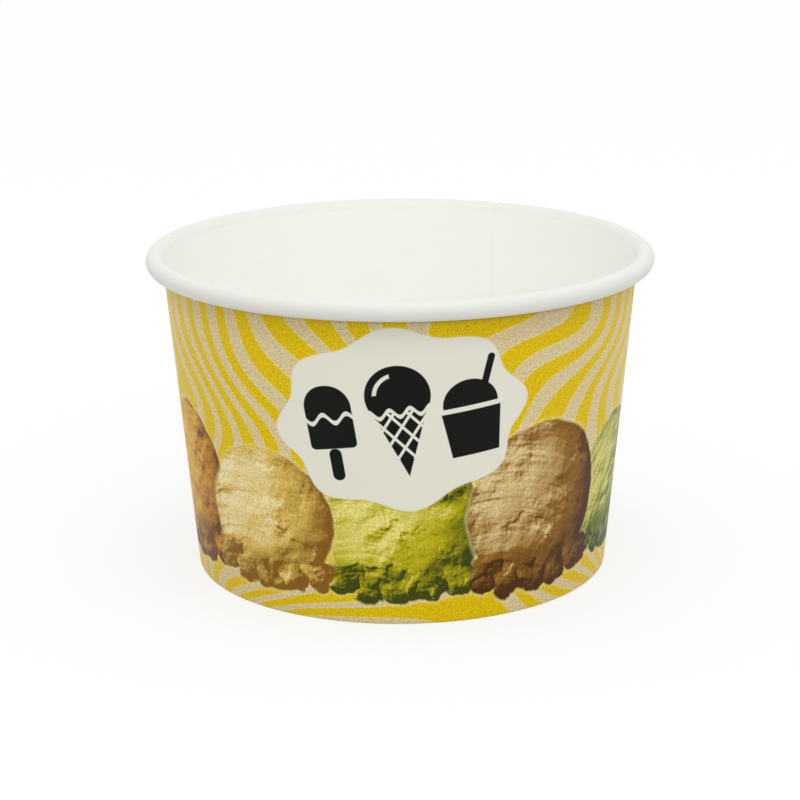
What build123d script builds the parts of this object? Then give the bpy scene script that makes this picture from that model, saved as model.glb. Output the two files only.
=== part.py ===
from build123d import *
import os
from math import acos, atan2, cos, degrees, hypot, radians, sin, tan

# Paper dessert cup, in millimetres, standing on the XY plane with its axis on Z.
# It is two pieces of coated board: a side wall wrapped from one sheet, and a bottom disc pressed into it.

# Overall sizes
rim_diameter = 96.0
base_diameter = 79.0
height = 61.4

# Board, and the film that seals one layer of it to the next
board = 0.4
seal_film = 0.03

# Rolled rim, its round drawn as narrow flats of about this length
bead_diameter = 3.5
curl_gap = 0.1
curl_flat = 0.85

# Folded base: the wall's edge is turned up inside, and clasps the skirt of the bottom disc
hem_height = 5.5
recess = 7.0
disc_bend = 0.6
skirt_clearance = 0.2

# Lapped side seam: the angle of its exposed edge, the overlap, the slope where the sheet climbs onto itself,
# how far the pressed lap stands proud, and the notch that it leaves round the rim
seam_angle = 56.5
lap_width = 5.5
lap_slope = 3.0
seam_step = 0.25
notch_depth = 0.2
cut_margin = 1.0

# The wall's slope: its inside face runs tangent into the rolled rim
rim_radius = rim_diameter / 2
base_radius = base_diameter / 2
bead_radius = bead_diameter / 2
bead_centre = Vector(rim_radius - bead_radius, height - bead_radius)
bead_offset = bead_centre.X - base_radius
wall_angle = acos((bead_radius - board) / hypot(bead_offset, bead_centre.Y)) - atan2(bead_centre.Y, bead_offset)
out_of_wall = Vector(cos(wall_angle), -sin(wall_angle))

# Depth of the middle of each layer below the outside of the wall, square to the board
layer_pitch = board + seal_film
wall_depth = board / 2
skirt_depth = wall_depth + layer_pitch
hem_depth = skirt_depth + layer_pitch

# Levels of the fold and the floor, and the roll at the rim
fold_level = board / 2
floor_level = recess + board / 2
skirt_foot = board + skirt_clearance
curl_radius = bead_radius - board / 2
curl_angle = 360 - degrees(acos(1 - (board + curl_gap) / curl_radius))
flat_count = round(radians(curl_angle) * curl_radius / curl_flat)
flat_angle = curl_angle / flat_count

# The seam as angles about the axis, with its slope drawn on by this share past the face that it runs into
run_out = 0.5
seam_radius = (rim_radius + base_radius) / 2
lap_angle = degrees(lap_width / seam_radius)
slope_angle = degrees(lap_slope * (1 + run_out) / seam_radius)
flap_foot = board
flap_top = height - bead_diameter
undercut_foot = recess + board
undercut_top = bead_centre.Y + board


def radius_at(z, depth):
    """Radius at height z of the cone that lies this deep below the outside of the wall."""
    return base_radius - depth / cos(wall_angle) + z * tan(wall_angle)


def roll_corners(count, lift):
    """The first corners of the rolled rim, this far out from the middle of its board."""
    reach = -out_of_wall * (curl_radius + lift / cos(radians(flat_angle / 2)))
    return [bead_centre + reach.rotate(Axis.Z, -flat_angle * i) for i in range(count)]


def seam_point(radius, angle):
    """Point at this radius, and at this angle past the exposed edge of the seam."""
    turn = radians(seam_angle + angle)
    return (radius * cos(turn), radius * sin(turn))


def flap_section(z):
    """Level section of the outer flap: proud of the wall over the lap, then sloping into it."""
    root = radius_at(z, seam_step * run_out)
    crest = radius_at(z, -seam_step)
    with BuildSketch(Plane.XY.offset(z)) as section:
        with BuildLine():
            Line(seam_point(root, 0), seam_point(crest, 0))
            CenterArc((0, 0), crest, seam_angle, lap_angle)
            Line(seam_point(crest, lap_angle), seam_point(root, lap_angle + slope_angle))
            CenterArc((0, 0), root, seam_angle, lap_angle + slope_angle)
        make_face()
    return section.sketch


def undercut_section(z):
    """Level section of the hollow inside the wall, from the sheet's covered edge to the end of the slope."""
    clear = radius_at(z, board + cut_margin)
    end = radius_at(z, board + seam_step * run_out)
    step = radius_at(z, board - seam_step)
    with BuildSketch(Plane.XY.offset(z)) as section:
        with BuildLine():
            Line(seam_point(clear, lap_angle), seam_point(step, lap_angle))
            Line(seam_point(step, lap_angle), seam_point(end, lap_angle + slope_angle))
            Line(seam_point(end, lap_angle + slope_angle), seam_point(clear, lap_angle + slope_angle))
            CenterArc((0, 0), clear, seam_angle + lap_angle, slope_angle)
        make_face()
    return section.sketch


def notch_section(angle, depth):
    """Section across the rolled rim, at this angle past the seam's edge, of a notch this deep in its outside."""
    outward = seam_point(1, angle)
    with BuildSketch(Plane(origin=(0, 0, 0), x_dir=outward, z_dir=(outward[1], -outward[0], 0))) as section:
        with BuildLine():
            floor = Polyline(*roll_corners(flat_count, board / 2 - depth))
            clear = Polyline(*roll_corners(flat_count, board / 2 + cut_margin))
            Line(floor @ 0, clear @ 0)
            Line(floor @ 1, clear @ 1)
        make_face()
    return section.sketch


os.makedirs("parts", exist_ok=True)

# Side wall: hem, fold, cone and rolled rim are one line of board, turned about the axis
with BuildPart() as side_wall:
    with BuildSketch(Plane.XZ):
        with BuildLine():
            Polyline(
                (radius_at(hem_height, hem_depth), hem_height),
                (radius_at(fold_level, hem_depth), fold_level),
                (radius_at(fold_level, wall_depth), fold_level),
                *roll_corners(flat_count + 1, 0),
            )
        trace(line_width=board)
    revolve(axis=Axis.Z)

    # The lapped seam: a flap outside, the step behind it inside, and a notch where it crosses the rim
    loft([flap_section(flap_foot), flap_section(flap_top)], ruled=True)
    loft([undercut_section(undercut_foot), undercut_section(undercut_top)], ruled=True, mode=Mode.SUBTRACT)
    notch_start = notch_section(lap_angle, notch_depth)
    notch_end = notch_section(lap_angle + slope_angle, -notch_depth * run_out)
    loft([notch_start, notch_end], ruled=True, mode=Mode.SUBTRACT)

side_wall.part.label = "side_wall"
export_step(side_wall.part, "parts/side_wall.step")

# Bottom disc: a flat floor with its edge turned down between the wall and the hem
with BuildPart() as bottom_disc:
    with BuildSketch(Plane.XZ):
        with BuildLine():
            Polyline(
                (0, floor_level),
                (radius_at(floor_level, skirt_depth) - disc_bend, floor_level),
                (radius_at(floor_level - disc_bend, skirt_depth), floor_level - disc_bend),
                (radius_at(skirt_foot, skirt_depth), skirt_foot),
            )
        trace(line_width=board)
    revolve(axis=Axis.Z)

bottom_disc.part.label = "bottom_disc"
export_step(bottom_disc.part, "parts/bottom_disc.step")
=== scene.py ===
from math import acos, atan2, cos, degrees, hypot, pi, radians, sin, tan

import bpy
from mathutils import Matrix, Vector


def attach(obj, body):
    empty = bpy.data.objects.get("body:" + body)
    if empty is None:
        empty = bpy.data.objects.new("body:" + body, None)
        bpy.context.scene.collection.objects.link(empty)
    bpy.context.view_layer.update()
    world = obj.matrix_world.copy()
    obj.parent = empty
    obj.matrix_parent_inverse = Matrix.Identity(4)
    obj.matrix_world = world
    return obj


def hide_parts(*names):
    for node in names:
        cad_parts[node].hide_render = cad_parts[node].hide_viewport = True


# Paper dessert cup: one printed sheet wrapped into a cone with a rolled rim, and a white bottom disc.
# Lengths are in millimetres until a mesh is made, and angles in degrees about the cup's axis.
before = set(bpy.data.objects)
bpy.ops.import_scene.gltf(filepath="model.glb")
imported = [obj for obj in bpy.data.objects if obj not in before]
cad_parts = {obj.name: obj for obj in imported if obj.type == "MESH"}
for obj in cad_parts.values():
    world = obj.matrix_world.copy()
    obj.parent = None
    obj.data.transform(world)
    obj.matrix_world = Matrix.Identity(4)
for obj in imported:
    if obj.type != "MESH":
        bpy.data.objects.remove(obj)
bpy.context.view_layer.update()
MM = 0.001
TAU = 2 * pi

# Sizes, as in the part's source
rim_diameter = 96.0
base_diameter = 79.0
height = 61.4
board = 0.4
seal_film = 0.03
bead_diameter = 3.5
hem_height = 5.5
recess = 7.0
skirt_clearance = 0.2
seam_angle = 56.5
lap_width = 5.5
lap_slope = 3.0
seam_step = 0.25

# Details that only the dressed model has: rounds, the turn of the roll, and how the lap thins out
fold_round = 0.32
disc_round = 0.55
curl_turn = 306.0
step_run = 2.0
notch_gap = 0.1
skive_angle = 2.0
film_angle = 1.0
film_gap = 0.01

# How finely the meshes are drawn: steps along the runs of a section, and degrees from column to column
hem_steps = 5
fold_steps = 6
foot_steps = 6
wall_steps = 22
roll_steps = 44
floor_steps = 14
bend_steps = 8
skirt_steps = 4
lap_pitch = 0.6
wall_pitch = 1.4
slope_pitch = 0.5
disc_columns = 240
sharp_angle = 40.0

# Sizes that follow from these
rim_radius = rim_diameter / 2
base_radius = base_diameter / 2
bead_radius = bead_diameter / 2
half_board = board / 2
bead_centre = Vector((rim_radius - bead_radius, height - bead_radius))
bead_offset = bead_centre.x - base_radius
bead_reach = hypot(bead_offset, bead_centre.y)
wall_angle = acos((bead_radius - board) / bead_reach) - atan2(bead_centre.y, bead_offset)
up_wall = Vector((sin(wall_angle), cos(wall_angle)))
out_of_wall = Vector((cos(wall_angle), -sin(wall_angle)))
curl_radius = bead_radius - half_board
layer_pitch = board + seal_film
skirt_depth = half_board + layer_pitch
hem_depth = skirt_depth + layer_pitch
seam_radius = (rim_radius + base_radius) / 2
lap_angle = degrees(lap_width / seam_radius)
slope_angle = degrees(lap_slope / seam_radius)
skived = board - seam_step

# The print's own coordinates: millimetres round the wall from the front, and up from the base
print_radius = 42.5
print_half = pi * print_radius


def smoothstep(low, high, x):
    """Smooth rise from 0 at low to 1 at high."""
    t = min(max((x - low) / (high - low), 0.0), 1.0)
    return t * t * (3 - 2 * t)


def radius_at(z, depth):
    """Radius at height z of the cone that lies this deep below the outside of the wall."""
    return base_radius - depth / cos(wall_angle) + z * tan(wall_angle)


def turned(vector, angle):
    """The vector in the section plane, turned clockwise by an angle in degrees."""
    c = cos(radians(angle))
    s = sin(radians(angle))
    return Vector((c * vector.x + s * vector.y, c * vector.y - s * vector.x))


def line_rows(start, end, steps):
    """Points along a straight run, without its last."""
    return [start.lerp(end, i / steps) for i in range(steps)]


def corner_rows(before, corner, after, radius, steps):
    """Points of the round between two straight runs, with the places where it leaves each."""
    into = (corner - before).normalized()
    out = (after - corner).normalized()
    turn = into.angle(out)
    reach = radius * tan(turn / 2)
    start = corner - into * reach
    side = out - into * out.dot(into)
    centre = start + side.normalized() * radius
    rows = []
    for i in range(steps + 1):
        a = turn * i / steps
        rows.append(centre - side.normalized() * radius * cos(a) + into * radius * sin(a))
    return rows


def print_side(points):
    """Direction out of the printed side at each point of a section line."""
    normals = []
    last = len(points) - 1
    for i in range(len(points)):
        along = (points[min(i + 1, last)] - points[max(i - 1, 0)]).normalized()
        normals.append(Vector((along.y, -along.x)))
    return normals


# Section of the wall, along the middle of its board: hem, fold, cone and rolled rim
hem_top = Vector((radius_at(hem_height, hem_depth), hem_height))
hem_corner = Vector((radius_at(half_board, hem_depth), half_board))
base_corner = Vector((radius_at(half_board, half_board), half_board))
roll_start = bead_centre - out_of_wall * curl_radius
hem_round = corner_rows(hem_top, hem_corner, base_corner, fold_round, fold_steps)
base_round = corner_rows(hem_corner, base_corner, roll_start, fold_round, fold_steps)
foot_end = base_corner + up_wall * step_run
wall_line = line_rows(hem_top, hem_round[0], hem_steps) + hem_round + base_round
foot_row = len(wall_line) - 1
wall_line = wall_line[:-1] + line_rows(base_round[-1], foot_end, foot_steps)
notch_row = len(wall_line)
wall_line += line_rows(foot_end, roll_start, wall_steps)
roll_row = len(wall_line)
for step in range(roll_steps + 1):
    wall_line.append(bead_centre - turned(out_of_wall, curl_turn * step / roll_steps) * curl_radius)
wall_normals = print_side(wall_line)

# How far each row of the wall lies up the sheet from the base, and how much of the seam's step it has
wall_lengths = [0.0]
for before, after in zip(wall_line, wall_line[1:]):
    wall_lengths.append(wall_lengths[-1] + (after - before).length)
wall_rise = [length - wall_lengths[foot_row] for length in wall_lengths]
wall_step = [smoothstep(wall_rise[foot_row], wall_rise[notch_row], rise) for rise in wall_rise]

# Columns of the sheet, from its covered end round the front to its exposed end
covered_end = seam_angle + lap_angle
exposed_end = seam_angle - 360
lap_start = covered_end - 360
slope_end = lap_start + slope_angle
notch_angle = seam_angle - notch_gap


def spaced(start, end, step):
    """Angles from start towards end, without the end, about this far apart."""
    count = max(1, round(abs(end - start) / step))
    return [start + (end - start) * i / count for i in range(count)]


columns = spaced(covered_end, notch_angle, lap_pitch)
notch_column = len(columns)
columns += spaced(notch_angle, slope_end, wall_pitch)
columns += spaced(slope_end, lap_start, slope_pitch)
columns += spaced(lap_start, exposed_end, lap_pitch)
columns.append(exposed_end)


def sheet_faces(angle, share):
    """How far the printed face and the white face lie out from the middle of the board.

    In the lap the exposed end is lifted over the covered one, and both are thinned to share the thickness.
    share is how much of the seam's step this row has.
    """
    outer = half_board
    inner = -half_board
    if angle > seam_angle - film_angle:
        covered = smoothstep(seam_angle, seam_angle + skive_angle, angle)
        buried = smoothstep(seam_angle - film_angle, seam_angle, angle)
        outer -= (skived * covered + film_gap * buried) * share
    if angle < slope_end:
        lift = seam_step * (1 - smoothstep(lap_start, slope_end, angle)) * share
        thinned = 1 - smoothstep(exposed_end, exposed_end + skive_angle, angle)
        outer += lift
        inner += lift + skived * thinned * share
    return outer, inner


def placed(point, normal, offset, angle):
    """Place in metres of a point of the section, moved along its normal and turned about the axis."""
    r = (point.x + normal.x * offset) * MM
    z = (point.y + normal.y * offset) * MM
    return (r * cos(radians(angle)), r * sin(radians(angle)), z)


# Layout of the wall's texture map, in shares of its side: four strips of print, two beside two,
# then a band for the white face and a line for each cut edge
strip_count = 4
strip_pitch = 0.44
map_scale = 6.5 / 1024
map_margin = 0.006
map_width = 1 - 2 * map_margin
white_low = 0.886
white_high = 0.962
edge_low = 0.968
edge_pitch = 0.0065
edge_width = 0.005
roll_squeeze = 0.15

# The sheet's cut edges, in the order of their lines on the map, and the materials of its faces
roll_edge, hem_edge, notch_edge, covered_edge, exposed_edge = range(5)
print_slot, lining_slot, cut_slot = range(3)


def print_length(angle):
    """Millimetres round the wall from the front, to the right."""
    return radians(angle + 90) * print_radius


def sheet_along(angle):
    """Millimetres along the sheet from its covered end."""
    return print_length(covered_end) - print_length(angle)


sheet_length = sheet_along(exposed_end)
strip_length = sheet_length / strip_count
strip_of = [min(int(sheet_along(angle) / strip_length), strip_count - 1) for angle in columns]


def print_place(row, column, strip):
    """Place on the texture map of a point of the printed face."""
    x = sheet_along(columns[column]) - strip * strip_length
    y = wall_rise[row] - wall_rise[0]
    roll = wall_rise[roll_row] - wall_rise[0]
    if y > roll:
        y = roll + (y - roll) * roll_squeeze
    left = map_margin + (strip % 2) * strip_pitch
    foot = map_margin + (strip // 2) * strip_pitch
    return (left + x * map_scale, foot + y * map_scale)


def white_place(row, column):
    """Place on the texture map of a point of the white face."""
    x = sheet_along(columns[column]) / sheet_length
    y = (wall_rise[row] - wall_rise[0]) / (wall_rise[-1] - wall_rise[0])
    return (map_margin + x * map_width, white_low + y * (white_high - white_low))


def edge_place(row, column, line, side):
    """Place on the texture map of a point of a cut edge."""
    across = line in (roll_edge, hem_edge, notch_edge)
    x = column / (len(columns) - 1) if across else row / (len(wall_line) - 1)
    return (map_margin + x * map_width, edge_low + line * edge_pitch + side * edge_width)


def shaded_smooth(mesh, slots):
    """Gives a mesh its material slots, and smooth shading that stops at its edges."""
    mesh.polygons.foreach_set("material_index", slots)
    mesh.polygons.foreach_set("use_smooth", [True] * len(slots))
    mesh.set_sharp_from_angle(angle=radians(sharp_angle))
    return mesh


def make_wall():
    """The wrapped sheet as one closed mesh: printed face, white face and cut edges."""
    rows = len(wall_line)
    count = len(columns)
    places = []
    for row in range(rows):
        for angle in columns:
            for offset in sheet_faces(angle, wall_step[row]):
                places.append(placed(wall_line[row], wall_normals[row], offset, angle))

    def vertex(row, column, side):
        return (row * count + column) * 2 + side

    def present(row, column):
        inside = 0 <= row < rows - 1 and 0 <= column < count - 1
        return inside and not (row < notch_row and column < notch_column)

    faces = []
    slots = []
    sheet_uv = []
    bake_uv = []

    def add(corners, slot, bake):
        faces.append([vertex(*corner) for corner in corners])
        slots.append(slot)
        for row, column, side in corners:
            sheet_uv.append((print_length(columns[column]), wall_rise[row]))
            bake_uv.append(bake(row, column, side))

    for row in range(rows - 1):
        lower_edge = hem_edge if row == 0 else notch_edge
        for column in range(count - 1):
            if not present(row, column):
                continue
            strip = strip_of[column]
            ring = [(row, column), (row + 1, column), (row + 1, column + 1), (row, column + 1)]
            outer = [(r, c, 0) for r, c in ring]
            inner = [(r, c, 1) for r, c in reversed(ring)]
            add(outer, print_slot, lambda r, c, s: print_place(r, c, strip))
            add(inner, lining_slot, lambda r, c, s: white_place(r, c))
            beyond = [
                ((row, column - 1), covered_edge),
                ((row + 1, column), roll_edge),
                ((row, column + 1), exposed_edge),
                ((row - 1, column), lower_edge),
            ]
            for i, (neighbour, line) in enumerate(beyond):
                if present(*neighbour):
                    continue
                a = ring[i]
                b = ring[(i + 1) % 4]
                edge = [(*b, 0), (*a, 0), (*a, 1), (*b, 1)]
                slot = lining_slot if line == covered_edge else cut_slot
                add(edge, slot, lambda r, c, s: edge_place(r, c, line, s))

    used = sorted({index for face in faces for index in face})
    new_index = {old: new for new, old in enumerate(used)}
    mesh = bpy.data.meshes.new("cup_wall")
    mesh.from_pydata([places[i] for i in used], [], [[new_index[i] for i in face] for face in faces])
    for name, values in (("sheet", sheet_uv), ("OFBake", bake_uv)):
        layer = mesh.uv_layers.new(name=name, do_init=False)
        layer.uv.foreach_set("vector", [x for pair in values for x in pair])
    return shaded_smooth(mesh, slots)


# Section of the bottom disc, along the middle of its board: floor, bend and skirt
floor_level = recess + half_board
skirt_foot = board + skirt_clearance
floor_corner = Vector((radius_at(floor_level, skirt_depth), floor_level))
skirt_end = Vector((radius_at(skirt_foot, skirt_depth), skirt_foot))
floor_centre = Vector((0.0, floor_level))
disc_bend = corner_rows(floor_centre, floor_corner, skirt_end, disc_round, bend_steps)
disc_line = line_rows(floor_centre, disc_bend[0], floor_steps)[1:] + disc_bend
disc_line += line_rows(disc_bend[-1], skirt_end, skirt_steps)[1:] + [skirt_end]


def make_disc():
    """The bottom disc as one closed mesh, its upper and lower faces joined along the skirt's foot."""
    white_slot, foot_slot = range(2)
    normals = [-normal for normal in print_side(disc_line)]
    places = []
    faces = []
    slots = []
    rows = len(disc_line)
    for side in (half_board, -half_board):
        places.append((0.0, 0.0, (floor_level + side) * MM))
        for point, normal in zip(disc_line, normals):
            for column in range(disc_columns):
                places.append(placed(point, normal, side, 360 * column / disc_columns))
    sheet = 1 + rows * disc_columns

    def vertex(side, row, column):
        return side * sheet + 1 + row * disc_columns + column % disc_columns

    def add(corners, side):
        faces.append(corners if side == 0 else corners[::-1])
        slots.append(white_slot)

    for side in (0, 1):
        for column in range(disc_columns):
            add([side * sheet, vertex(side, 0, column), vertex(side, 0, column + 1)], side)
            for row in range(rows - 1):
                ring = [
                    vertex(side, row, column),
                    vertex(side, row + 1, column),
                    vertex(side, row + 1, column + 1),
                    vertex(side, row, column + 1),
                ]
                add(ring, side)
    for column in range(disc_columns):
        foot = [vertex(0, rows - 1, column), vertex(1, rows - 1, column)]
        foot += [vertex(1, rows - 1, column + 1), vertex(0, rows - 1, column + 1)]
        faces.append(foot)
        slots.append(foot_slot)
    mesh = bpy.data.meshes.new("cup_bottom")
    mesh.from_pydata(places, [], faces)
    return shaded_smooth(mesh, slots)


class Field:
    """A value that varies over the surface. Arithmetic with fields becomes nodes of their graph."""

    def __init__(self, graph, socket):
        self.graph = graph
        self.socket = socket

    def __add__(self, other):
        return self.graph.math("ADD", self, other)

    def __sub__(self, other):
        return self.graph.math("SUBTRACT", self, other)

    def __rsub__(self, other):
        return self.graph.math("SUBTRACT", other, self)

    def __mul__(self, other):
        return self.graph.math("MULTIPLY", self, other)

    def __truediv__(self, other):
        return self.graph.math("DIVIDE", self, other)

    def __neg__(self):
        return self.graph.math("MULTIPLY", self, -1.0)


def linear(red, green, blue):
    """Linear colour of an sRGB colour given in steps of 1/255."""

    def channel(value):
        v = value / 255
        return v / 12.92 if v <= 0.04045 else ((v + 0.055) / 1.055) ** 2.4

    return (channel(red), channel(green), channel(blue), 1.0)


# Sockets of a mix node that mixes colours
MIX_SHARE = 0
MIX_FIRST = 6
MIX_SECOND = 7
MIX_RESULT = 2


class Graph:
    """The nodes of one material."""

    def __init__(self, name):
        self.material = bpy.data.materials.new(name)
        self.material.use_nodes = True
        self.tree = self.material.node_tree
        self.tree.nodes.clear()

    def node(self, kind, **settings):
        """A new node with these settings."""
        made = self.tree.nodes.new(kind)
        for key, value in settings.items():
            setattr(made, key, value)
        return made

    def feed(self, socket, value):
        """Gives a socket a field or a constant."""
        if isinstance(value, Field):
            self.tree.links.new(value.socket, socket)
        else:
            socket.default_value = value

    def math(self, operation, *values, clamp=False):
        """Field of one arithmetic step."""
        made = self.node("ShaderNodeMath", operation=operation, use_clamp=clamp)
        for socket, value in zip(made.inputs, values):
            self.feed(socket, value)
        return Field(self, made.outputs[0])

    def step(self, low, high, value):
        """Smooth rise of a field from 0 at low to 1 at high, low below high."""
        made = self.node("ShaderNodeMapRange", interpolation_type="SMOOTHSTEP")
        self.feed(made.inputs["Value"], value)
        made.inputs["From Min"].default_value = low
        made.inputs["From Max"].default_value = high
        return Field(self, made.outputs["Result"])

    def least(self, *values):
        """Lowest of several fields."""
        total = values[0]
        for value in values[1:]:
            total = self.math("MINIMUM", total, value)
        return total

    def most(self, *values):
        """Highest of several fields."""
        total = values[0]
        for value in values[1:]:
            total = self.math("MAXIMUM", total, value)
        return total

    def size(self, value):
        """Absolute value of a field."""
        return self.math("ABSOLUTE", value)

    def sine(self, value):
        """Sine of a field in radians."""
        return self.math("SINE", value)

    def length(self, x, y):
        """Length of the vector with these two fields."""
        return self.math("SQRT", self.math("MULTIPLY_ADD", x, x, y * y))

    def vector(self, x, y, z=0.0):
        """One field out of three."""
        made = self.node("ShaderNodeCombineXYZ")
        for socket, value in zip(made.inputs, (x, y, z)):
            self.feed(socket, value)
        return Field(self, made.outputs[0])

    def split(self, field):
        """The three fields of a vector or colour."""
        made = self.node("ShaderNodeSeparateXYZ")
        self.feed(made.inputs[0], field)
        return [Field(self, made.outputs[i]) for i in range(3)]

    def sheet(self):
        """Millimetres round the wall from the front and up the sheet from the base."""
        uv = self.node("ShaderNodeUVMap", uv_map="sheet")
        u, v, _ = self.split(Field(self, uv.outputs[0]))
        return u, v

    def noise(self, x, y, detail=2.0, roughness=0.5):
        """Cloudy field about 0, from about -0.5 to 0.5, with features about one unit of x and y across."""
        made = self.node("ShaderNodeTexNoise", noise_dimensions="2D")
        self.feed(made.inputs["Vector"], self.vector(x, y))
        made.inputs["Scale"].default_value = 1.0
        made.inputs["Detail"].default_value = detail
        made.inputs["Roughness"].default_value = roughness
        return Field(self, made.outputs[0]) - 0.5

    def fibre(self, scale, detail):
        """Cloudy field from 0 to 1 through the board itself, with this many features in a metre."""
        place = self.node("ShaderNodeTexCoord")
        made = self.node("ShaderNodeTexNoise")
        self.tree.links.new(place.outputs["Object"], made.inputs["Vector"])
        made.inputs["Scale"].default_value = scale
        made.inputs["Detail"].default_value = detail
        return Field(self, made.outputs[0])

    def chances(self, value):
        """Three random fields from 0 to 1, the same wherever the value is the same."""
        made = self.node("ShaderNodeTexWhiteNoise", noise_dimensions="1D")
        self.feed(made.inputs["W"], value)
        return self.split(Field(self, made.outputs["Color"]))

    def mix(self, share, first, second, blend="MIX"):
        """Colour between two, with this share of the second."""
        made = self.node("ShaderNodeMix", data_type="RGBA", blend_type=blend)
        self.feed(made.inputs[MIX_SHARE], share)
        self.feed(made.inputs[MIX_FIRST], first)
        self.feed(made.inputs[MIX_SECOND], second)
        return Field(self, made.outputs[MIX_RESULT])

    def choice(self, place, colours):
        """One of several colours, by a field that counts 0, 1, 2 and so on."""
        made = self.node("ShaderNodeValToRGB")
        ramp = made.color_ramp
        ramp.interpolation = "CONSTANT"
        while len(ramp.elements) < len(colours):
            ramp.elements.new(1.0)
        for i, colour in enumerate(colours):
            ramp.elements[i].position = i / len(colours)
            ramp.elements[i].color = colour
        self.feed(made.inputs[0], (place + 0.5) / float(len(colours)))
        return Field(self, made.outputs[0])

    def shade(self, colour, roughness, bump, depth, level):
        """Ends the material: a board of this colour, roughness and specular level, its relief in metres."""
        relief = self.node("ShaderNodeBump")
        relief.inputs["Distance"].default_value = depth
        relief.inputs["Strength"].default_value = 1.0
        self.feed(relief.inputs["Height"], bump)
        shader = self.node("ShaderNodeBsdfPrincipled")
        self.feed(shader.inputs["Base Color"], colour)
        self.feed(shader.inputs["Roughness"], roughness)
        shader.inputs["Specular IOR Level"].default_value = level
        self.tree.links.new(relief.outputs[0], shader.inputs["Normal"])
        output = self.node("ShaderNodeOutputMaterial")
        self.tree.links.new(shader.outputs[0], output.inputs[0])
        return self.material


# The print: wavy stripes, a row of scoops round the foot, and a plaque with three pictograms.
# One print fills half the way round, so that the plaque is at the front and again at the back.
stripe_yellow = linear(228, 195, 3)
stripe_beige = linear(223, 204, 157)
hairline = linear(240, 226, 160)
plaque_colour = linear(236, 235, 221)
ink_colour = linear(9, 9, 7)
# Colour of the painted shadow just under the rolled rim
painted_rim_shadow_colour = linear(66, 48, 14)
print_skew = 0.0035

# Stripes: how many there are, how much wider the yellow ones are, and their soft edges with a pale line
stripe_count = 19
stripe_bias = 0.24
stripe_blur = 0.10
hairline_width = 0.22
hairline_share = 0.55

# Waves that bend the stripes: length up the wall, count round one print, start, and size in stripes
stripe_waves = [
    (70.0, 1.0, 0.4, -1.05),
    (40.0, -1.0, 1.1, -0.50),
    (23.0, 2.0, 2.0, -0.22),
    (90.0, 3.0, 2.6, 0.32),
    (60.0, -5.0, 2.5, 0.11),
]

# Wave that varies the width of the yellow stripes, and the sideways sweep of all stripes at the foot
width_wave = (55.0, 2.0, 2.0)
sweep_size = 3.2
sweep_start = 2.6
sweep_height = 17.0


def stripes(g, u, v):
    """Share of yellow in the wavy stripes, and how far from a stripe's edge a point is."""
    around = u * (TAU / print_half)

    def wave_at(rise, turns, start):
        return g.sine(v * (TAU / rise) + around * turns + start)

    foot = g.most(1.0 - v / sweep_height, 0.0)
    wave = g.sine(around + sweep_start) * foot * foot * sweep_size
    for rise, turns, start, size in stripe_waves:
        wave = wave + wave_at(rise, turns, start) * size
    phase = u * (stripe_count / print_half) + wave
    width = wave_at(*width_wave) * stripe_bias + stripe_bias
    level = g.sine(phase * TAU) + width
    return g.step(-stripe_blur, stripe_blur, level), g.step(0.0, hairline_width, g.size(level))


# Scoops: the dark, middle and pale colour of each flavour
flavours = [
    ((62, 70, 4), (190, 180, 18), (238, 226, 130)),
    ((78, 44, 10), (152, 106, 36), (228, 202, 142)),
    ((38, 58, 6), (138, 148, 20), (220, 212, 120)),
    ((108, 58, 2), (198, 138, 6), (238, 194, 40)),
    ((138, 94, 22), (220, 186, 88), (246, 230, 176)),
]
flavours_dark = [linear(*flavour[0]) for flavour in flavours]
flavours_mid = [linear(*flavour[1]) for flavour in flavours]
flavours_pale = [linear(*flavour[2]) for flavour in flavours]

# Their places and sizes, each with the range over which chance varies it
scoop_count = len(flavours)
scoop_pitch = print_half / scoop_count
scoop_shift = 5.0
scoop_foot = 4.6
foot_shift = 2.5
scoop_half_width = 13.4
half_width_range = 2.4
scoop_half_height = 13.6
half_height_range = 3.0
scoop_wobble = 0.16

# Seeds of the chances and the noises
chance_seed = 7.0
scoop_seed = 5.0
seed_pitch = 23.0
wear_seed = 30.0
wobble_seed = 40.0
crumple_seed = 70.0
speck_seed = 12.0

# Relief of a scoop: how wide its features are and how high they stand
lump_width = 6.0
lump_length = 5.0
lump_relief = 2.8
drag_width = 1.4
drag_turns = 1.1
drag_relief = 0.85
crumb_width = 1.0
crumb_relief = 0.30
tear_width = 3.2
tear_relief = 1.3
lip_reaches = (0.96, 1.50)
lip_blur = 0.06
lip_lumps = 0.55
lip_tears = 0.25
lip_relief = 0.45

# Point that the drag lines sweep round, in half widths and half heights of the scoop
pivot_range = 2.4
pivot_height = -0.3
pivot_height_range = -0.4

# Light on a scoop: from the front, the left and above, with a steady share, and on its relief
front_light = 0.56
left_light = 0.42
upper_light = 0.26
steady_light = 0.14
relief_light = 1.1
light_reach = 0.45
light_left = 0.66
light_up = 0.75

# Wear takes the relief down in patches, and shade gathers towards the foot
wear_width = 9.0
wear_range = 0.35
wear_low = -0.25
wear_high = 0.20
worn_relief = 0.35
fresh_relief = 0.95
shade_low = 3.0
shade_high = 9.5
shade_wobble = 6.0
shade_depth = 0.70

# Rows of lobes pressed out round the foot, the far one first: seed, height, pitch, shift and darkness
lobe_rows = [
    (0.0, 4.2, 7.4, 0.5, 0.12),
    (50.0, 2.6, 5.6, 0.1, 0.04),
]

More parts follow.
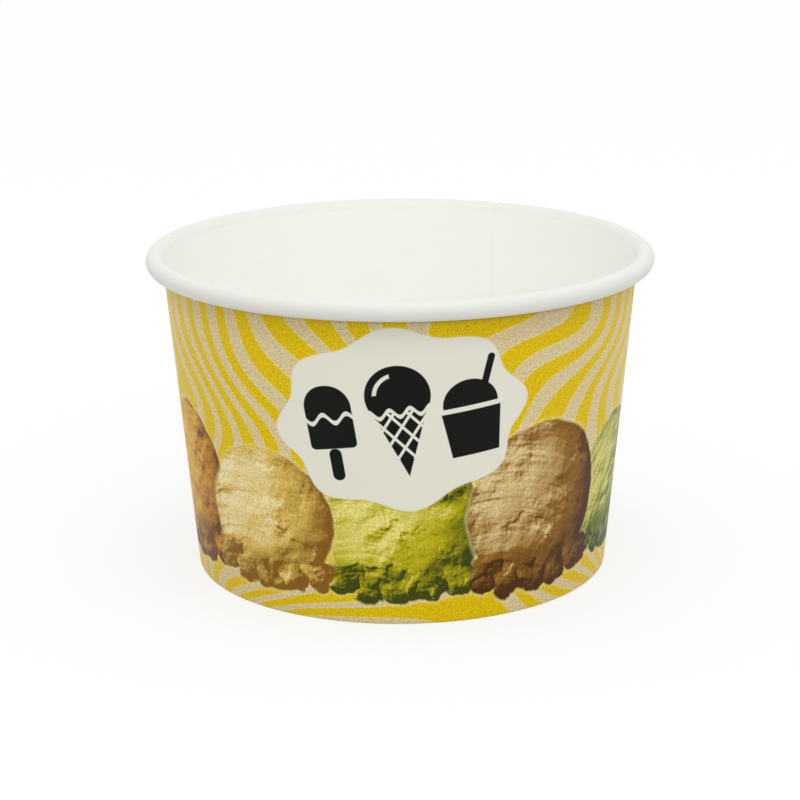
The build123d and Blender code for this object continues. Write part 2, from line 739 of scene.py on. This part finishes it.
# Shape of the lobes: how they narrow, hang and climb towards the sides, and how they are lit
lobe_narrow = 1.45
lobe_narrow_range = 0.5
lobe_depth = 2.6
lobe_depth_range = 1.3
lobe_depth_fall = 0.9
lobe_climb = 1.6
lobe_shift = 0.8
lobe_end = 1.0
lobe_end_blur = 0.01
lobe_far_off = 9.0
lobe_edge_low = -0.05
lobe_edge_high = 0.02
lobe_fade_low = 0.05
lobe_fade_high = 0.85
lobe_upper_light = 0.40
lobe_left_light = 0.30
lobe_front_light = 0.26
lobe_relief = 0.75
lobe_scale = 0.22

# How far the wobble and the crumple of the outlines bend the lobes' places
wobble_across = 5.0
wobble_up = 2.0
crumple_across = 2.6
crumple_down = 1.4

# Soft outline of a scoop, with a pale halo in the inks round it
outline_blur = 0.02
halo_width = 0.06
halo_share = 0.35


def scoop_height(g, x, y, seed, pivot, reach):
    """Height of a scoop's surface: lumps, drag lines swept round a pivot, two lips, tears and crumbs."""
    away_x = x - pivot[0]
    away_y = y - pivot[1]
    far = g.length(away_x, away_y)
    turn = g.math("ARCTAN2", away_y, away_x)
    lumps = g.noise(x / lump_width + seed, y / lump_length, detail=1.0)
    drag = g.noise(far / drag_width + seed, turn * drag_turns, detail=1.5)
    crumbs = g.noise(x / crumb_width + seed, y / crumb_width, roughness=0.6)
    tears = g.noise(x / tear_width + seed, y / tear_width, detail=3.0, roughness=0.6)
    band = far / reach + lumps * lip_lumps + tears * lip_tears
    total = lumps * lump_relief + drag * drag_relief + crumbs * crumb_relief + tears * tear_relief
    for lip_reach in lip_reaches:
        total = total + g.step(lip_reach, lip_reach + lip_blur, band) * lip_relief
    return total


def lobe_row(g, x, y, seed, wide, level, pitch, shift):
    """A row of lobes round a scoop's foot: distance outside them, their light, and how much of it shows."""
    place = x / pitch + shift
    cell = g.math("ROUND", place)
    c1, c2, c3 = g.chances(cell + seed)
    out = (cell - shift) * pitch / wide
    side = (place - cell) * (c3 * lobe_narrow_range + lobe_narrow)
    deep = c1 * lobe_depth_range + lobe_depth - out * out * lobe_depth_fall
    up = (y - level - out * out * lobe_climb - (c2 - 0.5) * lobe_shift) / deep
    far = g.length(side, up)
    front = g.math("SQRT", g.most(1.0 - far * far, 0.0))
    gone = g.step(lobe_end - lobe_end_blur, lobe_end + lobe_end_blur, g.size(out)) * lobe_far_off
    light = up * lobe_upper_light - side * lobe_left_light + front * lobe_front_light
    outside = far - 1.0 + gone
    inside = 1.0 - g.step(lobe_edge_low, lobe_edge_high, outside)
    shown = inside * (1.0 - g.step(lobe_fade_low, lobe_fade_high, up))
    return outside, light, shown


def scoop_layer(g, u, v, colour, odd, wobble, crumple):
    """Adds every other scoop of the row to the print."""
    pair = g.math("ROUND", (u - odd * scoop_pitch) / (2 * scoop_pitch))
    index = pair * 2.0 + float(odd)
    flavour = g.math("FLOORED_MODULO", index, float(scoop_count))
    h1, h2, h3 = g.chances(flavour + chance_seed)
    seed = flavour * seed_pitch + scoop_seed
    x = u - index * scoop_pitch - (h1 - 0.5) * scoop_shift
    y = v - scoop_foot - (h2 - 0.5) * foot_shift
    wide = h1 * half_width_range + scoop_half_width
    tall = h3 * half_height_range + scoop_half_height
    across = x / wide
    upward = (y - tall) / tall
    radial = g.length(across, upward)
    shape = radial - 1.0 + wobble * scoop_wobble

    # Light on the dome: a ball lit from the upper left, with the relief of its surface
    pivot = (wide * (h2 - 0.5) * pivot_range, tall * (h3 * pivot_height_range + pivot_height))
    here = scoop_height(g, x, y, seed, pivot, tall)
    ahead = scoop_height(g, x - light_reach * light_left, y + light_reach * light_up, seed, pivot, tall)
    slope_light = (here - ahead) * relief_light
    front = g.math("SQRT", g.most(1.0 - radial * radial, 0.0))
    light = front * front_light - across * left_light + upward * upper_light + steady_light
    patches = g.noise(x / wear_width + seed + wear_seed, y / wear_width, detail=1.0)
    fresh = g.step(wear_low, wear_high, patches + (h2 - 0.5) * wear_range)
    light = light + slope_light * (fresh * fresh_relief + worn_relief)
    shade = 1.0 - g.step(shade_low, shade_high, y - wobble * shade_wobble)
    light = light * (1.0 - shade * shade_depth)

    # Lobes round the foot, on places that are bent so that no two look alike
    bent_x = x + wobble * wobble_across + crumple * crumple_across
    bent_y = y + wobble * wobble_up - crumple * crumple_down
    for row_seed, level, pitch, shift, darkness in lobe_rows:
        outside, row_light, shown = lobe_row(g, bent_x, bent_y, seed + row_seed, wide, level, pitch, shift)
        row_light = row_light + slope_light * lobe_relief - darkness
        light = g.math("MULTIPLY_ADD", shown, row_light - light, light)
        shape = g.least(shape, outside * lobe_scale)

    # Colour: from dark over middle to pale with the light, inside the outline
    mask = 1.0 - g.step(-outline_blur, outline_blur, shape)
    halo = g.step(outline_blur, halo_width, shape) * halo_share + (1 - halo_share)
    colour = g.mix(halo, hairline, colour)
    lower_half = g.math("MULTIPLY", light, 2.0, clamp=True)
    upper_half = g.math("MULTIPLY_ADD", light, 2.0, -1.0, clamp=True)
    body = g.mix(lower_half, g.choice(flavour, flavours_dark), g.choice(flavour, flavours_mid))
    body = g.mix(upper_half, body, g.choice(flavour, flavours_pale))
    return g.mix(mask, colour, body)


def rounded_box(g, x, y, half_width, half_height, corner):
    """Distance outside a box with rounded corners, less than 0 inside."""
    qx = g.size(x) - (half_width - corner)
    qy = g.size(y) - (half_height - corner)
    outside = g.length(g.most(qx, 0.0), g.most(qy, 0.0))
    return outside + g.least(g.most(qx, qy), 0.0) - corner


def turn_plane(x, y, angle):
    """Coordinates turned by an angle in degrees."""
    c = cos(radians(angle))
    s = sin(radians(angle))
    return x * c + y * s, y * c - x * s


def bar_sign(g, x, y):
    """Distance outside a glazed bar on a stick."""
    half_width = 4.3
    top_level = 2.2
    foot_level = 0.2
    stick_level = -7.0
    glaze_level = 1.6
    glaze_line = 0.42
    glaze_turns = 1.45
    glaze_wave = 0.8
    top = rounded_box(g, x, y - top_level, half_width, half_height=5.6, corner=4.1)
    foot = rounded_box(g, x, y - foot_level, half_width, half_height=4.2, corner=0.9)
    stick = rounded_box(g, x, y - stick_level, half_width=1.15, half_height=3.0, corner=1.1)
    glaze = g.size(y - glaze_level + g.sine(x * glaze_turns) * glaze_wave) - glaze_line
    return g.least(g.most(g.least(top, foot), -glaze), stick)


def cone_sign(g, x, y):
    """Distance outside a ball in a wafer cone, with a scalloped gap between and a shine on the ball."""
    tip_depth = 10.6
    cone_cosine = 0.93
    cone_sine = 0.36
    cone_top = 1.1
    scallop_turns = 1.75
    scallop_size = 0.7
    wafer_pitch = 3.2
    wafer_shift = 0.4
    wafer_slope = 0.8
    wafer_line = 0.32
    wafer_start = 3.3
    ball_foot = 1.9
    ball_level = 4.6
    ball_radius = 5.7
    shine_radius = 4.0
    shine_line = 0.35
    shine_right = -0.9
    shine_foot = 5.2
    rise = y + tip_depth
    scallop = g.math("COSINE", x * scallop_turns) * scallop_size
    cone = g.most(g.size(x) * cone_cosine - rise * cone_sine, y - cone_top + scallop)

    def wafer(slant):
        return g.size(g.math("FLOORED_MODULO", slant + wafer_shift, wafer_pitch) - wafer_pitch / 2)

    lines = g.least(wafer(rise * wafer_slope + x), wafer(rise * wafer_slope - x))
    cone = g.most(cone, g.least(wafer_line - lines, rise - wafer_start))
    middle = g.length(x, y - ball_level)
    shine = g.most(g.size(middle - shine_radius) - shine_line, x - shine_right, shine_foot - y)
    ball = g.most(middle - ball_radius, ball_foot - y - scallop, -shine)
    return g.least(cone, ball)


def bowl_sign(g, x, y):
    """Distance outside a heaped bowl with a spoon."""
    bowl_depth = 4.2
    bowl_half_width = 4.9
    bowl_flare = 0.12
    bowl_drop = 0.2
    heap_foot = 0.7
    heap_level = 1.0
    heap_radius = 4.6
    heap_stretch = 1.08
    spoon_right = 3.2
    spoon_level = 5.2
    spoon_angle = -20.0
    up = y + bowl_depth
    bowl = g.most(g.size(x) - bowl_half_width - up * bowl_flare, g.size(up + bowl_drop) - bowl_depth)
    heap = g.most(g.length(x / heap_stretch, y - heap_level) - heap_radius, heap_foot - y)
    spoon_x, spoon_y = turn_plane(x - spoon_right, y - spoon_level, spoon_angle)
    spoon = rounded_box(g, spoon_x, spoon_y, half_width=0.65, half_height=4.6, corner=0.6)
    return g.least(bowl, heap, spoon)


# Plaque: a scalloped oval, a little tilted, with the three signs in a row
plaque_level = 39.0
plaque_tilt = 8.0
plaque_half_width = 22.0
plaque_half_height = 16.4
plaque_scallops = 8.0
scallop_depth = 0.055
plaque_blur = 0.010
ink_blur = 0.09
bar_place = -12.6
bowl_place = 12.4

# Unevenness of the scoops' outlines
wobble_width = 9.0
crumple_width = 2.4

# Paper grain: width of its fibres and flecks, how they tone the inks, and the board's relief and gloss
grain_width = 0.30
speck_width = 0.75
grain_tone = 0.85
speck_tone = 0.30
grain_relief = 0.7
speck_relief = 0.5
print_rough = 0.40
print_rough_range = 0.25
print_depth = 0.00003
print_gloss = 0.13

# Painted shadow under the rolled rim: the print is drawn darker there, from where to where it darkens, and
# by how much
painted_rim_shadow_bands = [
    (50.5, 56.0, 0.11),
    (56.6, 57.5, 0.36),
]


def print_material():
    """The wall's printed face."""
    g = Graph("printed_board")
    u, v = g.sheet()
    v = v + u * print_skew
    yellow, inner = stripes(g, u, v)
    colour = g.mix(yellow, stripe_beige, stripe_yellow)
    colour = g.mix(inner * hairline_share + (1 - hairline_share), hairline, colour)

    wobble = g.noise(u / wobble_width + wobble_seed, v / wobble_width)
    crumple = g.noise(u / crumple_width + crumple_seed, v / crumple_width)
    for odd in (0, 1):
        colour = scoop_layer(g, u, v, colour, odd, wobble, crumple)

    # Paper grain shows through the inks, but not through the plaque
    grain = g.noise(u / grain_width, v / grain_width, detail=1.0)
    speck = g.noise(u / speck_width + speck_seed, v / speck_width)
    tone = grain * grain_tone + speck * speck_tone
    factor = tone + 1.0
    colour = g.mix(1.0, colour, g.vector(factor, factor, factor), blend="MULTIPLY")

    near = g.math("WRAP", u, print_half / 2, -print_half / 2)
    x, y = turn_plane(near, v - plaque_level, plaque_tilt)
    across = x / plaque_half_width
    upward = y / plaque_half_height
    scallop = g.math("COSINE", g.math("ARCTAN2", upward, across) * plaque_scallops) * scallop_depth
    off_plaque = g.step(-plaque_blur, plaque_blur, g.length(across, upward) - 1.0 - scallop)
    colour = g.mix(off_plaque, plaque_colour, colour)
    signs = g.least(bar_sign(g, x - bar_place, y), cone_sign(g, x, y), bowl_sign(g, x - bowl_place, y))
    off_ink = g.step(-ink_blur, ink_blur, signs)
    colour = g.mix(g.most(off_ink, off_plaque), ink_colour, colour)

    # Painted shadow: the print darkens towards the rolled rim, standing for the shade under it
    painted_rim_shadow = 0.0
    for low, high, share in painted_rim_shadow_bands:
        painted_rim_shadow = g.step(low, high, v) * share + painted_rim_shadow
    colour = g.mix(painted_rim_shadow, colour, painted_rim_shadow_colour)

    rough = tone * print_rough_range + print_rough
    return g.shade(colour, rough, grain * grain_relief + speck * speck_relief, print_depth, print_gloss)


# White board: its two tones, a painted shade that greys the rolled rim, and the bare fibre of a cut edge
white_low_tone = linear(247, 247, 241)
white_high_tone = linear(252, 252, 248)
# Painted shade on the rolled rim: its grey tone and the heights up the sheet over which it sets in
painted_rim_shade_tone = linear(229, 229, 224)
painted_rim_shade_low = 58.9
painted_rim_shade_high = 61.2
fibre_low_tone = linear(206, 194, 168)
fibre_high_tone = linear(238, 232, 214)
fibre_scale = 900.0
cloud_scale = 110.0
cut_scale = 2500.0

# Roughness of the film and of a cut edge, with what the fibres and clouds add, their relief and their gloss
white_rough = 0.28
fibre_rough = 0.10
cloud_rough = 0.16
white_relief = 0.6
white_depth = 0.00004
white_gloss = 0.35
cut_rough = 0.72
cut_rough_range = 0.2
cut_depth = 0.00003
cut_gloss = 0.3


def white_material(name, paints_rim_shade):
    """Board with a thin satin film, as inside the cup, with painted shade that greys the rolled rim."""
    g = Graph(name)
    fine = g.fibre(fibre_scale, detail=3.0)
    broad = g.fibre(cloud_scale, detail=2.0)
    colour = g.mix(fine * 0.5 + broad * 0.5, white_low_tone, white_high_tone)
    if paints_rim_shade:
        rise = g.sheet()[1]
        # Painted shade: the board is drawn greyer up the rolled rim
        colour = g.mix(g.step(painted_rim_shade_low, painted_rim_shade_high, rise), colour, painted_rim_shade_tone)
    rough = broad * cloud_rough + fine * fibre_rough + white_rough
    return g.shade(colour, rough, fine * white_relief + broad * white_relief, white_depth, white_gloss)


def edge_material():
    """Bare fibre along a cut edge of the board."""
    g = Graph("cut_board")
    fine = g.fibre(cut_scale, detail=3.0)
    colour = g.mix(fine, fibre_low_tone, fibre_high_tone)
    return g.shade(colour, fine * cut_rough_range + cut_rough, fine, cut_depth, cut_gloss)


def add_piece(name, mesh, materials, node):
    """Puts a piece of the cup in the scene, in place of its CAD solid."""
    piece = bpy.data.objects.new(name, mesh)
    bpy.context.scene.collection.objects.link(piece)
    for material in materials:
        mesh.materials.append(material)
    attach(piece, "root")
    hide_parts(node)


printed = print_material()
lining = white_material("wall_lining", True)
white = white_material("white_board", False)
cut = edge_material()
add_piece("cup_wall", make_wall(), [printed, lining, cut], "side_wall")
add_piece("cup_bottom", make_disc(), [white, cut], "bottom_disc")

# Floor: pale, and shown nearly white to the camera, with the cup's own shadow on it
floor_size = 6.0
floor_show = 0.75
floor_seen = (0.95, 0.95, 0.95, 1)
floor_lit = (0.66, 0.66, 0.65, 1)
plain_white = (1, 1, 1, 1)


def seen_share(nodes, links):
    """1 for rays from the camera or mirrored to it, and 0 for rays that light the cup."""
    path = nodes.new("ShaderNodeLightPath")
    mirrored = nodes.new("ShaderNodeMath")
    mirrored.operation = "MAXIMUM"
    seen = nodes.new("ShaderNodeMath")
    seen.operation = "MAXIMUM"
    links.new(path.outputs["Is Glossy Ray"], mirrored.inputs[0])
    links.new(path.outputs["Is Transmission Ray"], mirrored.inputs[1])
    links.new(path.outputs["Is Camera Ray"], seen.inputs[0])
    links.new(mirrored.outputs[0], seen.inputs[1])
    return seen.outputs[0]


def make_floor():
    """The floor that the cup stands on."""
    half = floor_size / 2
    corners = [(-half, -half, 0), (half, -half, 0), (half, half, 0), (-half, half, 0)]
    mesh = bpy.data.meshes.new("floor")
    mesh.from_pydata(corners, [], [(0, 1, 2, 3)])
    floor = bpy.data.objects.new("floor", mesh)
    bpy.context.scene.collection.objects.link(floor)
    material = bpy.data.materials.new("floor")
    material.use_nodes = True
    nodes = material.node_tree.nodes
    links = material.node_tree.links
    nodes.clear()
    seen = seen_share(nodes, links)
    tone = nodes.new("ShaderNodeMix")
    tone.data_type = "RGBA"
    tone.inputs[MIX_FIRST].default_value = floor_lit
    tone.inputs[MIX_SECOND].default_value = floor_seen
    links.new(seen, tone.inputs[MIX_SHARE])
    matte = nodes.new("ShaderNodeBsdfDiffuse")
    links.new(tone.outputs[MIX_RESULT], matte.inputs["Color"])
    glow = nodes.new("ShaderNodeEmission")
    glow.inputs["Color"].default_value = plain_white
    share = nodes.new("ShaderNodeMath")
    share.operation = "MULTIPLY"
    share.inputs[1].default_value = floor_show
    links.new(seen, share.inputs[0])
    mix = nodes.new("ShaderNodeMixShader")
    output = nodes.new("ShaderNodeOutputMaterial")
    links.new(share.outputs[0], mix.inputs[0])
    links.new(matte.outputs[0], mix.inputs[1])
    links.new(glow.outputs[0], mix.inputs[2])
    links.new(mix.outputs[0], output.inputs[0])
    mesh.materials.append(material)


make_floor()

# Light: white surroundings that are brightest overhead and lean to the front, and two soft lamps
dome_tint = (1.0, 1.0, 0.99, 1)
dome_strength = 1.16
dome_lean = 17.5
key_place = (0.35, -0.90, 0.65)
key_power = 1.0
key_width = 0.6
top_place = (0.05, -0.12, 1.1)
top_power = 1.2
top_width = 0.32


def make_world():
    """Surroundings that are seen as plain white, and light the cup by how near the dome's top they are."""
    world = bpy.data.worlds.new("studio")
    bpy.context.scene.world = world
    world.use_nodes = True
    nodes = world.node_tree.nodes
    links = world.node_tree.links
    nodes.clear()
    light = nodes.new("ShaderNodeBackground")
    light.inputs["Color"].default_value = dome_tint
    place = nodes.new("ShaderNodeTexCoord")
    along = nodes.new("ShaderNodeVectorMath")
    along.operation = "DOT_PRODUCT"
    along.inputs[1].default_value = (0.0, -sin(radians(dome_lean)), cos(radians(dome_lean)))
    ramp = nodes.new("ShaderNodeMapRange")
    ramp.inputs["From Min"].default_value = -1.0
    ramp.inputs["To Max"].default_value = dome_strength
    links.new(place.outputs["Generated"], along.inputs[0])
    links.new(along.outputs["Value"], ramp.inputs[0])
    links.new(ramp.outputs[0], light.inputs["Strength"])
    shown = nodes.new("ShaderNodeBackground")
    shown.inputs["Color"].default_value = plain_white
    shown.inputs["Strength"].default_value = 1.0
    mix = nodes.new("ShaderNodeMixShader")
    output = nodes.new("ShaderNodeOutputWorld")
    links.new(seen_share(nodes, links), mix.inputs[0])
    links.new(light.outputs[0], mix.inputs[1])
    links.new(shown.outputs[0], mix.inputs[2])
    links.new(mix.outputs[0], output.inputs[0])


def aimed(eye, target, roll=0.0):
    """Matrix that looks from eye to target, turned about the line of sight by this many degrees."""
    turn = (Vector(target) - Vector(eye)).to_track_quat("-Z", "Y").to_matrix().to_4x4()
    return Matrix.Translation(eye) @ turn @ Matrix.Rotation(radians(roll), 4, "Z")


def add_lamp(name, eye, power, width):
    """Square soft light, aimed at the cup."""
    lamp = bpy.data.lights.new(name, "AREA")
    lamp.shape = "SQUARE"
    lamp.size = width
    lamp.energy = power
    holder = bpy.data.objects.new(name, lamp)
    bpy.context.scene.collection.objects.link(holder)
    holder.matrix_world = aimed(eye, (0, 0, height * MM / 2))


make_world()
add_lamp("key_light", key_place, key_power, key_width)
add_lamp("top_light", top_place, top_power, top_width)

# Camera, fitted to the outline of the rim and the base
camera_distance = 0.450
camera_height = 15.85
camera_roll = 0.414
camera_lens = 104.9
camera_shift = 0.0002
camera_target = Vector((-camera_shift, 0.0, height * MM / 2 + camera_shift))
lens = bpy.data.cameras.new("camera")
lens.lens = camera_lens
lens.sensor_width = 36.0
lens.clip_start = 0.01
camera = bpy.data.objects.new("camera", lens)
bpy.context.scene.collection.objects.link(camera)
back = Vector((0.0, -cos(radians(camera_height)), sin(radians(camera_height))))
camera.matrix_world = aimed(camera_target + back * camera_distance, camera_target, -camera_roll)
bpy.context.scene.camera = camera
bpy.context.scene.view_settings.view_transform = "Standard"
